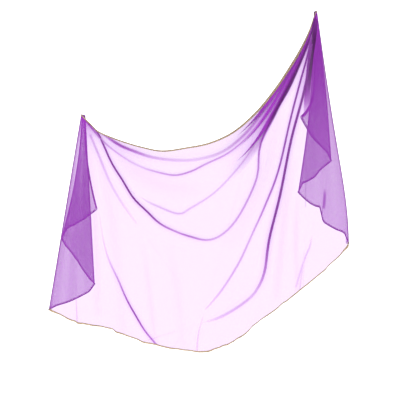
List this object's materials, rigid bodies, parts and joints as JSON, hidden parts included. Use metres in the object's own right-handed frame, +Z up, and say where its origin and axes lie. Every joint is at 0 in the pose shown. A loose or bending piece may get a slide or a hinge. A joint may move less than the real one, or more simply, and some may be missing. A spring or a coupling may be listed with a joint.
{
  "type": "dance veil shawl",
  "caption": "Sheer violet rectangular shawl with fine gold edging, held up by its long edge so that it hangs in a shallow bow with folded ends.",
  "frame": {"origin": "where the higher hand pinches the long top edge", "axes": "+X to the right and +Y away as seen by someone who looks at the bowed-out side, +Z up"},
  "size_m": [1.5063, 0.405, 1.6983],
  "materials": {
    "chiffon": "sheer soft chiffon",
    "gold_edging": "narrow metallic gold braid",
    "rolled_hem": "narrow rolled hem in the cloth's own violet"
  },
  "bodies": {
    "root": {"cloth_span": "chiffon", "fall_high_hand": "chiffon", "fall_low_hand": "chiffon", "edging_bottom": "gold_edging", "edging_top": "gold_edging", "edging_high_end": "gold_edging", "edging_low_end": "gold_edging", "hem_high_end": "rolled_hem", "hem_low_end": "rolled_hem"}
  },
  "joints": []
}
